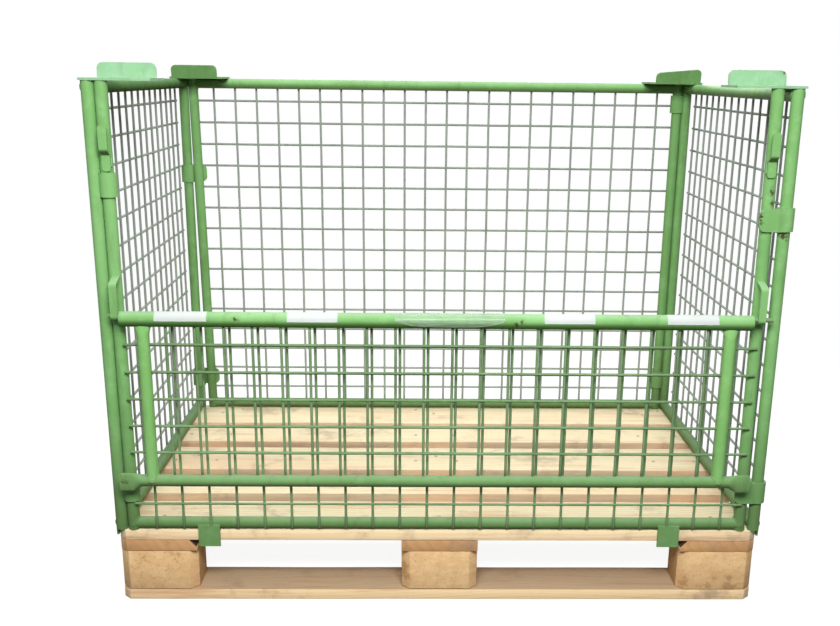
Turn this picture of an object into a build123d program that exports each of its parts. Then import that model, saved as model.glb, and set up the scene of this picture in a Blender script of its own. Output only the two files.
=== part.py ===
from build123d import *
from dataclasses import dataclass
from math import cos, radians, sin
import os

# A wire-mesh cage of four linked walls on a wooden four-way pallet.
# Millimetres. The origin is on the floor under the middle of the pallet.
# X runs along the pallet, the front with the hanging flap faces -Y, and Z is up.

# Pallet
PALLET_LENGTH = 1200.0
PALLET_WIDTH = 800.0
BOARD = 22.0
BLOCK_HEIGHT = 78.0
WIDE_BOARD = 145.0
NARROW_BOARD = 100.0
CORNER_CUT = 14.0
BLOCK_EDGE = 16.0

# Pallet nails
NAIL_HEAD_RADIUS = 4.0
NAIL_HEAD_HEIGHT = 1.5
NAIL_PROUD = 0.4
NAIL_SHANK_RADIUS = 2.0
NAIL_LENGTH = 60.0
SHORT_NAIL_LENGTH = 40.0
NAIL_SPREAD = 45.0
NAIL_STAGGER = 30.0

# Cage tubes
TUBE_RADIUS = 11.0
TUBE_WALL = 2.0
POST_HEIGHT = 800.0
POST_EDGE = 9.0
FRONT_LEFT_FOOT = 570.4
FRONT_LEFT_HEAD = 570.4
FRONT_RIGHT_FOOT = 565.5
FRONT_RIGHT_HEAD = 558.5
REAR_LEFT_FOOT = 561.0
REAR_LEFT_HEAD = 570.4
REAR_RIGHT_FOOT = 570.4
REAR_RIGHT_HEAD = 570.4
SIDE_POST_X = 592.8
POST_TRIM = 2.0
RAIL_LIFT = 0.3
MID_RAIL_HEIGHT = 397.0

# Wire mesh
WIRE = 5.0
PITCH = 50.0
LONG_WALL_COLUMNS = 22
SHORT_WALL_COLUMNS = 15
FULL_ROWS = 15
FRONT_ROWS = 7
WIRE_PAST_RAIL = 6.0
LONG_WALL_WIRE_HALF = 563.0
SIDE_WALL_WIRE_HALF = 371.0
WIRE_GAP = 1.0
FRONT_FIRST_ROW = 54.5
FIRST_ROW = 50.0

# Flap and its hinge
HINGE_GAP = 19.0
HINGE_HEIGHT = 404.5
HINGE_RAIL_RADIUS = 13.45
HINGE_RAIL_WALL = 2.3
HINGE_RAIL_HALF = 552.5
FLAP_SHIFT = -7.5
ROD_RADIUS = 4.0
ROD_RISE = 5.5
ROD_HALF = 580.0
ROD_CLEARANCE = 0.05
BUSH_LENGTH = 20.0
FLAP_DROP = 298.5
FLAP_TUBE_X = 514.8
FLAP_COLUMNS = 20
FLAP_ROWS = 5
FLAP_FIRST_ROW = 54.0
PINCH_LENGTH = 20.0
PINCH_HALF_WIDTH = 16.0
PINCH_HALF_DEPTH = 7.0
FLAT_START = 534.5
FLAT_FULL = 548.5
FLAT_END = 573.0
FLAT_HALF_HEIGHT = 17.0
FLAT_HALF_DEPTH = 2.0
FLAT_CORNER = 6.0

# Hinge staples and catch hooks sit a little nearer the middle than their posts
FITTING_INWARD = 3.0
STAPLE_WIDTH = 13.0
STAPLE_THICKNESS = 3.5
STAPLE_GAP = 0.5
STAPLE_SEAT_GAP = 0.3
STAPLE_TOP_BEND = 5.0
STAPLE_BOTTOM_BEND = 4.4
STAPLE_LEDGE_ABOVE_ROD = 54.0
STAPLE_LEDGE_SLOPE = 8.5

# Catch hooks
HOOK_WIDTH = 14.5
HOOK_THICKNESS = 3.5
HOOK_FOOT_HEIGHT = 653.5
HOOK_STEP_HEIGHT = 690.0
HOOK_STEP_RISE = 8.0
HOOK_TOP_HEIGHT = 729.0
HOOK_GAP = 1.0
HOOK_BEND = 3.0
HOOK_CORNER = 5.0

# Link bands at the corners
BAND_HEIGHT = 40.0
BAND_THICKNESS = 4.0
BAND_CLEARANCE = 0.3
BAND_CORNER = 12.0
LOOP_SLOT_HALF = 5.0
LEG_PAST_POST = 6.0
LOWER_BAND = 57.25
FRONT_LOOP = 610.0
REAR_LOOP = 734.0
UPPER_STRAP = 562.0

# Stacking plates
PLATE_THICKNESS = 4.0
PLATE_INNER_X = 486.0
PLATE_INNER_Y = 300.0
TAB_INNER_X = 498.0
TAB_OUTER_X = 600.0
TAB_HEIGHT = 29.0
TAB_LEAN = 10.0
TAB_CORNER = 10.0
REAR_RIGHT_TAB_RISE = 4.5
PLATE_OVERHANG = 1.0

# Deck lugs
LUG_WIDTH = 40.0
LUG_THICKNESS = 4.0
LUG_GAP = 1.0
LUG_BELOW_DECK = 31.5
SIDE_LUG_BELOW_DECK = 15.0
LUG_ABOVE_DECK = 11.0
FRONT_LUG_X = 429.5
SIDE_LUG_Y = 368.0

# Heights and distances that follow from the driving sizes
FRONT_FEET = (FRONT_LEFT_FOOT, FRONT_RIGHT_FOOT)
FRONT_HEADS = (FRONT_LEFT_HEAD, FRONT_RIGHT_HEAD)
REAR_FEET = (REAR_LEFT_FOOT, REAR_RIGHT_FOOT)
REAR_HEADS = (REAR_LEFT_HEAD, REAR_RIGHT_HEAD)
BLOCK_TOP = BOARD + BLOCK_HEIGHT
STRINGER_TOP = BLOCK_TOP + BOARD
DECK = STRINGER_TOP + BOARD
POST_TOP = DECK + POST_HEIGHT
POST_Y = PALLET_WIDTH / 2 - POST_EDGE
BOTTOM_RAIL_Z = DECK + TUBE_RADIUS + RAIL_LIFT
TOP_RAIL_Z = POST_TOP - TUBE_RADIUS
MID_RAIL_Z = DECK + MID_RAIL_HEIGHT
FRONT_FACE = -POST_Y - TUBE_RADIUS
HINGE_Y = FRONT_FACE - HINGE_GAP
HINGE_Z = DECK + HINGE_HEIGHT
ROD_Z = HINGE_Z + ROD_RISE
FREE_RAIL_Z = HINGE_Z - FLAP_DROP
FLAT_OUTWARD = TUBE_RADIUS - FLAT_HALF_DEPTH


def save(name, shape):
    """Write one node, as one body or as a group of separate ones."""
    shape.label = name
    export_step(shape, f"parts/{name}.step")


def block(low, high):
    """Box between two opposite corners."""
    sizes = [abs(high[i] - low[i]) for i in range(3)]
    middle = [(high[i] + low[i]) / 2 for i in range(3)]
    return Pos(*middle) * Box(*sizes)


def bar(start, end, radius):
    """Round bar between two points."""
    axis = Vector(*end) - Vector(*start)
    return extrude(Plane(origin=start, z_dir=axis) * Circle(radius), axis.length)


def tube(start, end, radius=TUBE_RADIUS, wall=TUBE_WALL):
    """Round tube between two points."""
    return bar(start, end, radius) - bar(start, end, radius - wall)


def turned(shape, angle):
    """Turn a piece about the upright axis through the origin."""
    return Rot(0, 0, angle) * shape


def strip(points, bends, thickness, width, x):
    """Flat strip of the given width, bent along a path of (y, z) points, with its middle at x."""
    path = FilletPolyline(*[(y, z) for y, z in points], radius=bends)
    profile = make_face(offset(path, amount=thickness, side=Side.LEFT))
    upright = Plane(origin=(x, 0, 0), x_dir=(0, 1, 0), z_dir=(1, 0, 0))
    return extrude(upright * profile, width / 2, both=True)


def mesh_sheet(columns, rows, column_span, row_half):
    """Welded wire mesh as one flat holed sheet, wires along the local x and y."""
    low, high = column_span
    wires = [Pos(x, (low + high) / 2) * Rectangle(WIRE, high - low) for x in columns]
    wires += [Pos(0, y) * Rectangle(2 * row_half, WIRE) for y in rows]
    return Sketch() + wires


def spread(count, pitch=PITCH):
    """Evenly pitched places with zero in the middle."""
    return [(i - (count - 1) / 2) * pitch for i in range(count)]


def cut_corners(shape):
    """Cut the pallet's four upright corners off a board, stringer or block."""
    for sx in (-1, 1):
        for sy in (-1, 1):
            corner = Pos(sx * PALLET_LENGTH / 2, sy * PALLET_WIDTH / 2, DECK / 2)
            side = CORNER_CUT * 2**0.5
            shape = shape - corner * Rot(0, 0, 45) * Box(side, side, 2 * DECK)
    return shape


# Pallet
def pallet_board_rows():
    """Deck boards as (name, middle y, width), front to rear."""
    names = ["front", "front_middle", "centre", "rear_middle", "rear"]
    widths = [WIDE_BOARD, NARROW_BOARD, WIDE_BOARD, NARROW_BOARD, WIDE_BOARD]
    gap = (PALLET_WIDTH - sum(widths)) / (len(widths) - 1)
    rows = []
    edge = -PALLET_WIDTH / 2
    for name, width in zip(names, widths):
        rows.append((name, edge + width / 2, width))
        edge += width + gap
    return rows


def pallet_columns():
    """Stringers and block columns as (name, middle x)."""
    reach = (PALLET_LENGTH - WIDE_BOARD) / 2
    return [("left", -reach), ("middle", 0.0), ("right", reach)]


def pallet_feet():
    """Bottom boards and block rows as (name, middle y, width)."""
    reach = (PALLET_WIDTH - NARROW_BOARD) / 2
    return [("front", -reach, NARROW_BOARD), ("middle", 0.0, WIDE_BOARD), ("rear", reach, NARROW_BOARD)]


def nail(x, y, length, head_up):
    """One nail, with its head in the deck or in a bottom board."""
    head = Pos(0, 0, -NAIL_HEAD_HEIGHT / 2) * Cylinder(NAIL_HEAD_RADIUS, NAIL_HEAD_HEIGHT)
    shank = Pos(0, 0, -length / 2) * Cylinder(NAIL_SHANK_RADIUS, length)
    whole = head + shank
    if head_up:
        return Pos(x, y, DECK + NAIL_PROUD) * whole
    return Pos(x, y, 0) * Rot(180, 0, 0) * whole


def pallet_nails():
    """All nails: three where a wide board crosses, two where a narrow one does."""
    nails = []
    for _, x in pallet_columns():
        for name, y, width in pallet_board_rows():
            if width == NARROW_BOARD:
                places = [(x - NAIL_SPREAD, y), (x + NAIL_SPREAD, y)]
                length = SHORT_NAIL_LENGTH
            else:
                foot_y = next((fy for fname, fy, _ in pallet_feet() if fname == name), 0.0)
                inward = 1 if foot_y <= 0 else -1
                outer_y = foot_y - inward * NAIL_STAGGER / 2
                inner_y = foot_y + inward * NAIL_STAGGER / 2
                places = [(x - NAIL_SPREAD, outer_y), (x, inner_y), (x + NAIL_SPREAD, outer_y)]
                length = NAIL_LENGTH
            nails += [nail(px, py, length, True) for px, py in places]
        for _, y, _ in pallet_feet():
            for step, offset_y in ((-1, 0), (0, NAIL_STAGGER), (1, 0)):
                nail_y = y + offset_y - NAIL_STAGGER / 2
                nails.append(nail(x + step * NAIL_SPREAD, nail_y, NAIL_LENGTH, False))
    return Compound(children=nails)


def build_pallet():
    """Boards, stringers and blocks of the pallet, then its nails."""
    half = PALLET_LENGTH / 2
    for name, y, width in pallet_board_rows():
        board = block((-half, y - width / 2, STRINGER_TOP), (half, y + width / 2, DECK))
        save(f"deck_board_{name}", cut_corners(board))
    for name, x in pallet_columns():
        low = (x - WIDE_BOARD / 2, -PALLET_WIDTH / 2, BLOCK_TOP)
        high = (x + WIDE_BOARD / 2, PALLET_WIDTH / 2, STRINGER_TOP)
        save(f"stringer_{name}", cut_corners(block(low, high)))
    for row, y, width in pallet_feet():
        bottom = block((-half, y - width / 2, 0), (half, y + width / 2, BOARD))
        save(f"bottom_board_{row}", cut_corners(bottom))
        for column, x in pallet_columns():
            low = (x - WIDE_BOARD / 2, y - width / 2, BOARD)
            high = (x + WIDE_BOARD / 2, y + width / 2, BLOCK_TOP)
            whole = block(low, high)
            save(f"block_{row}_{column}", chamfer(whole.edges().filter_by(Axis.Z), BLOCK_EDGE))
    save("pallet_nails", pallet_nails())


# Walls
def between(foot, head, z):
    """Distance from the middle, at a height, of a post given by its foot and its head."""
    return foot + (head - foot) * (z - DECK) / POST_HEIGHT


@dataclass
class Wall:
    """One wall, drawn as if it were the front one and then turned about the upright axis.

    The posts stand at the given distance in front of the origin. Feet and heads are the posts' distances
    from the middle at their lower and upper ends, left one first. Rails are (name, height) pairs, the lowest
    first, and the mesh runs from the first rail to the last. Bands are (side, height) pairs of link bands
    that the mesh stays clear of.
    """

    name: str
    turn: float
    distance: float
    feet: tuple
    heads: tuple
    deck_edge: float
    ends: tuple
    rails: list
    columns: list
    rows: list
    lugs: float
    lug_drop: float
    wire_half: float
    bands: tuple = ()

    def post_point(self, side, z):
        """Point on a post's axis at a height."""
        end = 0 if side < 0 else 1
        return side * between(self.feet[end], self.heads[end], z), -self.distance, z

    def post_line(self, side):
        """Two points on a post's axis, just past its foot and its head."""
        return self.post_point(side, DECK - POST_TRIM), self.post_point(side, POST_TOP + POST_TRIM)

    def post(self, side):
        """Post at one end, its foot and head cut level."""
        reach = 2 * max(self.feet)
        level = block((-reach, -2 * self.distance, DECK), (reach, 0, POST_TOP))
        return tube(*self.post_line(side)) & level

    def rail(self, z):
        """Rail between the posts, its ends coped to them."""
        whole = tube(self.post_point(-1, z), self.post_point(1, z))
        for side in (-1, 1):
            whole = whole - bar(*self.post_line(side), TUBE_RADIUS)
        return whole

    def lug(self, side):
        """Flat lug under the bottom rail that hangs over the edge of the deck."""
        middle = side * self.lugs
        inner = -self.deck_edge - LUG_GAP
        low = (middle - LUG_WIDTH / 2, inner, DECK - self.lug_drop)
        high = (middle + LUG_WIDTH / 2, inner - LUG_THICKNESS, DECK + LUG_ABOVE_DECK)
        rail = bar(self.post_point(-1, BOTTOM_RAIL_Z), self.post_point(1, BOTTOM_RAIL_Z), TUBE_RADIUS)
        return block(low, high) - rail - bar(*self.post_line(side), TUBE_RADIUS)

    def clear_spaces(self):
        """Spans along the wall and upward, (x, z) to (x, z), where lugs and bands leave no room for wire."""
        spaces = []
        lug_low = DECK - self.lug_drop
        lug_high = DECK + LUG_ABOVE_DECK + WIRE_GAP
        lug_reach = LUG_WIDTH / 2 + WIRE_GAP
        leg_reach = TUBE_RADIUS + LEG_PAST_POST + WIRE_GAP
        for side in (-1, 1):
            middle = side * self.lugs
            spaces.append(((middle - lug_reach, lug_low), (middle + lug_reach, lug_high)))
        for side, height in self.bands:
            post_x = self.post_point(side, height)[0]
            band_high = height + BAND_HEIGHT + WIRE_GAP
            spaces.append(((post_x - side * leg_reach, height - WIRE_GAP), (post_x, band_high)))
        return spaces

    def mesh(self):
        """Wire mesh on the outer faces of the rails and posts, clear of the lugs and bands."""
        heights = [z for _, z in self.rails]
        span = (min(heights) - WIRE_PAST_RAIL, max(heights) + WIRE_PAST_RAIL)
        sheet = mesh_sheet(self.columns, self.rows, span, self.wire_half)
        face = -self.distance - TUBE_RADIUS
        outward = Plane(origin=(0, face, 0), x_dir=(1, 0, 0), z_dir=(0, -1, 0))
        solid = extrude(outward * sheet, WIRE)
        for (low_x, low_z), (high_x, high_z) in self.clear_spaces():
            solid = solid - block((low_x, face + WIRE, low_z), (high_x, face - 2 * WIRE, high_z))
        return solid

    def build(self):
        """Write the wall's nodes and return its two lugs."""
        for side, end in zip((-1, 1), self.ends):
            save(f"{self.name}_wall_post_{end}", turned(self.post(side), self.turn))
        for rail_name, z in self.rails:
            save(f"{self.name}_wall_{rail_name}_rail", turned(self.rail(z), self.turn))
        save(f"{self.name}_wall_mesh", turned(self.mesh(), self.turn))
        return [turned(self.lug(side), self.turn) for side in (-1, 1)]


def cage_walls():
    """The four walls, front first."""
    full = [("bottom", BOTTOM_RAIL_Z), ("top", TOP_RAIL_Z)]
    half = [("bottom", BOTTOM_RAIL_Z), ("mid", MID_RAIL_Z)]
    full_rows = [DECK + FIRST_ROW + i * PITCH for i in range(FULL_ROWS)]
    front_rows = [DECK + FRONT_FIRST_ROW + i * PITCH for i in range(FRONT_ROWS)]
    rear_bands = ((-1, DECK + REAR_LOOP), (1, DECK + UPPER_STRAP))
    long_wall = dict(distance=POST_Y, deck_edge=PALLET_WIDTH / 2, lugs=FRONT_LUG_X, lug_drop=LUG_BELOW_DECK,
                     columns=spread(LONG_WALL_COLUMNS), wire_half=LONG_WALL_WIRE_HALF)
    short_wall = dict(distance=SIDE_POST_X, feet=(POST_Y, POST_Y), heads=(POST_Y, POST_Y),
                      deck_edge=PALLET_LENGTH / 2, lugs=SIDE_LUG_Y, lug_drop=SIDE_LUG_BELOW_DECK,
                      columns=spread(SHORT_WALL_COLUMNS), wire_half=SIDE_WALL_WIRE_HALF,
                      rails=full, rows=full_rows)
    return [
        Wall("front", 0, **long_wall, feet=FRONT_FEET, heads=FRONT_HEADS, ends=("left", "right"),
             rails=half, rows=front_rows),
        Wall("rear", 180, **long_wall, feet=REAR_FEET[::-1], heads=REAR_HEADS[::-1], ends=("right", "left"),
             rails=full, rows=full_rows, bands=rear_bands),
        Wall("left", -90, ends=("rear", "front"), **short_wall),
        Wall("right", 90, ends=("front", "rear"), **short_wall),
    ]


# Link bands
def band_ring(x, y, z):
    """Ring band round one post."""
    inner = TUBE_RADIUS + BAND_CLEARANCE
    low = (x, y, z)
    high = (x, y, z + BAND_HEIGHT)
    return bar(low, high, inner + BAND_THICKNESS) - bar(low, high, inner)


def side_post_bar(sx, sy, radius=TUBE_RADIUS):
    """Full round bar where a post of the left or right wall stands, for cutting."""
    return bar((sx * SIDE_POST_X, sy * POST_Y, DECK), (sx * SIDE_POST_X, sy * POST_Y, POST_TOP), radius)


def long_post_x(sx, sy, z):
    """Where a post of the front or rear wall is at a height."""
    end = 0 if sx < 0 else 1
    feet = FRONT_FEET if sy < 0 else REAR_FEET
    heads = FRONT_HEADS if sy < 0 else REAR_HEADS
    return sx * between(feet[end], heads[end], z)


def long_post_bar(sx, sy):
    """Full round bar where a post of the front or rear wall stands, for cutting."""
    foot = (long_post_x(sx, sy, DECK), sy * POST_Y, DECK)
    head = (long_post_x(sx, sy, POST_TOP), sy * POST_Y, POST_TOP)
    return bar(foot, head, TUBE_RADIUS)


def corner_loop(sx, sy, z):
    """Band round the front or rear wall's post, welded to the flank of the side wall's post."""
    post_x = long_post_x(sx, sy, z + BAND_HEIGHT / 2)
    ring = band_ring(post_x, sy * POST_Y, z)
    slot = block((post_x, sy * POST_Y - LOOP_SLOT_HALF, z),
                 (sx * SIDE_POST_X, sy * POST_Y + LOOP_SLOT_HALF, z + BAND_HEIGHT))
    return ring - slot - side_post_bar(sx, sy)


def corner_strap(sx, sy, z):
    """Band round the side wall's post with a flat leg across the outer face of the other post."""
    ring = band_ring(sx * SIDE_POST_X, sy * POST_Y, z)
    leg_end = abs(long_post_x(sx, sy, z)) - TUBE_RADIUS - LEG_PAST_POST
    leg = Pos((sx * (leg_end + SIDE_POST_X)) / 2, z + BAND_HEIGHT / 2) * Rectangle(
        SIDE_POST_X - leg_end, BAND_HEIGHT)
    rounded = [v for v in leg.vertices() if abs(abs(v.X) - leg_end) < 1]
    leg = fillet(rounded, BAND_CORNER)
    face = sy * (POST_Y + TUBE_RADIUS)
    outward = Plane(origin=(0, face, 0), x_dir=(1, 0, 0), z_dir=(0, -1, 0))
    solid = extrude(outward * leg, -sy * (BAND_THICKNESS + BAND_CLEARANCE))
    solid = solid - side_post_bar(sx, sy, TUBE_RADIUS + BAND_CLEARANCE)
    return solid + ring - long_post_bar(sx, sy)


def build_bands():
    """Loops at the front left and rear right corners, straps at the other two."""
    loops = [
        corner_loop(-1, -1, DECK + FRONT_LOOP),
        corner_loop(-1, -1, DECK + LOWER_BAND),
        corner_loop(1, 1, DECK + REAR_LOOP),
        corner_loop(1, 1, DECK + LOWER_BAND),
    ]
    straps = [
        corner_strap(1, -1, DECK + UPPER_STRAP),
        corner_strap(1, -1, DECK + LOWER_BAND),
        corner_strap(-1, 1, DECK + UPPER_STRAP),
        corner_strap(-1, 1, DECK + LOWER_BAND),
    ]
    save("corner_loops", Compound(children=loops))
    save("corner_straps", Compound(children=straps))


# Flap fittings on the front posts
def fitting_x(side, z):
    """Middle of a fitting on a front post at a height."""
    return long_post_x(side, -1, z) - side * FITTING_INWARD


def hinge_staple(side):
    """Bent strap on a front post that makes an upright slot for the hinge rod."""
    root = -POST_Y - TUBE_RADIUS / 2
    inner = HINGE_Y - ROD_RADIUS - STAPLE_GAP
    seat = ROD_Z - ROD_RADIUS - STAPLE_SEAT_GAP
    ledge = ROD_Z + STAPLE_LEDGE_ABOVE_ROD
    points = [(root, seat), (inner, seat), (inner, ledge), (root, ledge + STAPLE_LEDGE_SLOPE)]
    bends = [STAPLE_BOTTOM_BEND, STAPLE_TOP_BEND]
    strap = strip(points, bends, STAPLE_THICKNESS, STAPLE_WIDTH, fitting_x(side, ROD_Z))
    mid_rail = bar((-SIDE_POST_X, -POST_Y, MID_RAIL_Z), (SIDE_POST_X, -POST_Y, MID_RAIL_Z), TUBE_RADIUS)
    return strap - long_post_bar(side, -1) - mid_rail


def catch_hook(side):
    """Stepped strap on a front post, with a tongue that holds the closed flap's flat end."""
    tongue = HINGE_Y + FLAT_OUTWARD - FLAT_HALF_DEPTH - HOOK_GAP
    foot = DECK + HOOK_FOOT_HEIGHT
    step = DECK + HOOK_STEP_HEIGHT
    top = DECK + HOOK_TOP_HEIGHT
    points = [(FRONT_FACE, foot), (FRONT_FACE, step - HOOK_STEP_RISE), (tongue, step), (tongue, top)]
    strap = strip(points, [HOOK_BEND, HOOK_BEND], HOOK_THICKNESS, HOOK_WIDTH, fitting_x(side, step))
    corners = [e for e in strap.edges().filter_by(Axis.Y)
               if abs(e.center().Z - foot) < 1 or abs(e.center().Z - top) < 1]
    return fillet(corners, HOOK_CORNER)


# Flap
def flattened_end(side):
    """Free rail's end: the round tube drawn out into an upright flat, flush with its outer side."""
    def section(x, shape, y=HINGE_Y):
        place = (FLAP_SHIFT + side * x, y, FREE_RAIL_Z)
        return Plane(origin=place, x_dir=(0, 1, 0), z_dir=(side, 0, 0)) * shape

    flat = Ellipse(FLAT_HALF_DEPTH, FLAT_HALF_HEIGHT)
    flat_y = HINGE_Y - FLAT_OUTWARD
    drawn = loft([section(FLAT_START, Circle(TUBE_RADIUS)), section(FLAT_FULL, flat, flat_y)])
    tongue = extrude(section(FLAT_FULL, flat, flat_y), FLAT_END - FLAT_FULL)
    window = Pos(FLAP_SHIFT + side * FLAT_START, flat_y, FREE_RAIL_Z) * Box(
        2 * (FLAT_END - FLAT_START), 4 * FLAT_HALF_DEPTH, 2 * FLAT_HALF_HEIGHT)
    window = fillet(window.edges().filter_by(Axis.Y), FLAT_CORNER)
    return drawn + (tongue & window)


def flap_side_tube(side):
    """Side tube of the flap, pinched where it meets the hinge rail and coped at both ends."""
    x = FLAP_SHIFT + side * FLAP_TUBE_X
    pinch_top = HINGE_Z - HINGE_RAIL_RADIUS / 2
    pinch_low = pinch_top - PINCH_LENGTH

    def level(z, shape):
        return Pos(x, HINGE_Y, z) * shape

    def pinched(gap):
        wide = Ellipse(PINCH_HALF_WIDTH - gap, PINCH_HALF_DEPTH - gap)
        return loft([level(pinch_low, Circle(TUBE_RADIUS - gap)), level(pinch_top, wide)])

    straight = tube((x, HINGE_Y, FREE_RAIL_Z), (x, HINGE_Y, pinch_low))
    whole = straight + (pinched(0) - pinched(TUBE_WALL))
    return whole - hinge_rail_bar() - free_rail_bar()


def flap_span(half, z):
    """Ends of a rail of the flap, given half its length and its height."""
    return (FLAP_SHIFT - half, HINGE_Y, z), (FLAP_SHIFT + half, HINGE_Y, z)


def hinge_rail_bar():
    """Full round bar where the hinge rail lies, for cutting."""
    return bar(*flap_span(HINGE_RAIL_HALF, HINGE_Z), HINGE_RAIL_RADIUS)


def free_rail_bar():
    """Full round bar where the free rail lies, for cutting."""
    return bar(*flap_span(FLAT_START, FREE_RAIL_Z), TUBE_RADIUS)


def flap_mesh():
    """Wire mesh in the middle plane of the flap, its wires ending on the tubes."""
    rows = [FREE_RAIL_Z + FLAP_FIRST_ROW + i * PITCH for i in range(FLAP_ROWS)]
    span = (FREE_RAIL_Z + TUBE_RADIUS - WIRE, HINGE_Z - HINGE_RAIL_RADIUS + WIRE)
    sheet = mesh_sheet(spread(FLAP_COLUMNS), rows, span, FLAP_TUBE_X - TUBE_RADIUS + WIRE)
    middle = Plane(origin=(FLAP_SHIFT, HINGE_Y + WIRE / 2, 0), x_dir=(1, 0, 0), z_dir=(0, -1, 0))
    solid = extrude(middle * sheet, WIRE) - hinge_rail_bar() - free_rail_bar()
    for side in (-1, 1):
        x = FLAP_SHIFT + side * FLAP_TUBE_X
        solid = solid - bar((x, HINGE_Y, FREE_RAIL_Z), (x, HINGE_Y, HINGE_Z), TUBE_RADIUS)
    return solid


def hinge_bush(side):
    """Bush in one end of the hinge rail, its bore above the rail's middle."""
    outer = HINGE_RAIL_RADIUS - HINGE_RAIL_WALL
    start_x = FLAP_SHIFT + side * (HINGE_RAIL_HALF - BUSH_LENGTH)
    end_x = FLAP_SHIFT + side * HINGE_RAIL_HALF
    body = bar((start_x, HINGE_Y, HINGE_Z), (end_x, HINGE_Y, HINGE_Z), outer)
    return body - bar((start_x, HINGE_Y, ROD_Z), (end_x, HINGE_Y, ROD_Z), ROD_RADIUS + ROD_CLEARANCE)


def build_flap():
    """Hinge rod, flap frame and mesh, then the fittings on the posts that hold them."""
    save("hinge_rod", bar((-ROD_HALF, HINGE_Y, ROD_Z), (ROD_HALF, HINGE_Y, ROD_Z), ROD_RADIUS))
    save("flap_hinge_rail", tube(*flap_span(HINGE_RAIL_HALF, HINGE_Z), HINGE_RAIL_RADIUS, HINGE_RAIL_WALL))
    save("hinge_bushes", Compound(children=[hinge_bush(-1), hinge_bush(1)]))
    free_rail = tube(*flap_span(FLAT_START, FREE_RAIL_Z))
    save("flap_free_rail", free_rail + flattened_end(-1) + flattened_end(1))
    save("flap_mesh", flap_mesh())
    for side, name in ((-1, "left"), (1, "right")):
        save(f"flap_side_tube_{name}", flap_side_tube(side))
        save(f"hinge_staple_{name}", hinge_staple(side))
        save(f"catch_hook_{name}", catch_hook(side))


# Stacking plates
def stacking_plate(sx, sy):
    """Corner plate with an upstanding tab that locates the pallet stacked on top."""
    outer_x = SIDE_POST_X + TUBE_RADIUS + PLATE_OVERHANG
    outer_y = POST_Y + TUBE_RADIUS + PLATE_OVERHANG
    plate = block((sx * PLATE_INNER_X, sy * PLATE_INNER_Y, POST_TOP),
                  (sx * outer_x, sy * outer_y, POST_TOP + PLATE_THICKNESS))
    half = (TAB_OUTER_X - TAB_INNER_X) / 2
    rise = REAR_RIGHT_TAB_RISE if sx > 0 and sy > 0 else 0.0
    tab = Polygon((-half, -TAB_HEIGHT), (half, -TAB_HEIGHT), (half, TAB_HEIGHT + rise),
                  (-half, TAB_HEIGHT - rise), align=None)
    tab = fillet(tab.vertices().sort_by(Axis.Y)[-2:], TAB_CORNER)
    lean = radians(TAB_LEAN)
    upright = Plane(origin=(sx * (TAB_INNER_X + TAB_OUTER_X) / 2, sy * PLATE_INNER_Y, POST_TOP),
                    x_dir=(sy, 0, 0), z_dir=(0, -sy * cos(lean), -sin(lean)))
    standing = extrude(upright * tab, -PLATE_THICKNESS)
    above = block((sx * PLATE_INNER_X, sy * outer_y, POST_TOP), (sx * outer_x, 0, POST_TOP + 2 * TAB_HEIGHT))
    return plate + (standing & above)


def build_cage():
    """Walls with their lugs, bands and stacking plates."""
    lugs = []
    for wall in cage_walls():
        lugs += wall.build()
    save("deck_lugs", Compound(children=lugs))
    build_bands()
    for sx, x_name in ((-1, "left"), (1, "right")):
        for sy, y_name in ((-1, "front"), (1, "rear")):
            save(f"stacking_plate_{y_name}_{x_name}", stacking_plate(sx, sy))


os.makedirs("parts", exist_ok=True)
build_pallet()
build_cage()
build_flap()
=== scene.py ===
"""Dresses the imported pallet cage: sawn pine, green enamel, round wire, welds, labels and a studio."""

import logging
import math
from collections.abc import Callable, Iterator
from contextlib import contextmanager
from dataclasses import dataclass, replace
from enum import Enum

import bpy
from mathutils import Matrix, Vector


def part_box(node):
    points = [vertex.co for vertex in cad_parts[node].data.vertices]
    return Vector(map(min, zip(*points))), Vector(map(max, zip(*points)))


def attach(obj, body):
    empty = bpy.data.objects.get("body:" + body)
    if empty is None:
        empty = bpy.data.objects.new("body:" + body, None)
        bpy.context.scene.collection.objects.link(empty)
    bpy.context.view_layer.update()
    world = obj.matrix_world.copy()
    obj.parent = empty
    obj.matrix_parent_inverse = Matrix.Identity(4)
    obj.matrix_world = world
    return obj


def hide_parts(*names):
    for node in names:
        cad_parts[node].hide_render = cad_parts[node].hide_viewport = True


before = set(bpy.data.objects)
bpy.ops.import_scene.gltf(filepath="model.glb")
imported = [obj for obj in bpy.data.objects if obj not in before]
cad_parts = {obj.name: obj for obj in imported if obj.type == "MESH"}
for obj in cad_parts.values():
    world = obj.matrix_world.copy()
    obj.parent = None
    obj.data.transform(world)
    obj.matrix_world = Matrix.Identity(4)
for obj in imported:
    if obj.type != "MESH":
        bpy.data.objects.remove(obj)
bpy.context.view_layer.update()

LOG = logging.getLogger("pallet_cage")
MM = 0.001
TUBE = 11 * MM
PALLET_BOX = (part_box("bottom_board_front")[0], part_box("bottom_board_rear")[1])
Colour = tuple[float, float, float]
Place = tuple[float, float, float]
Tones = tuple[Colour, Colour, Colour]
Span = tuple[float, float]
Spot = tuple[float, float, float, float]


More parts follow.
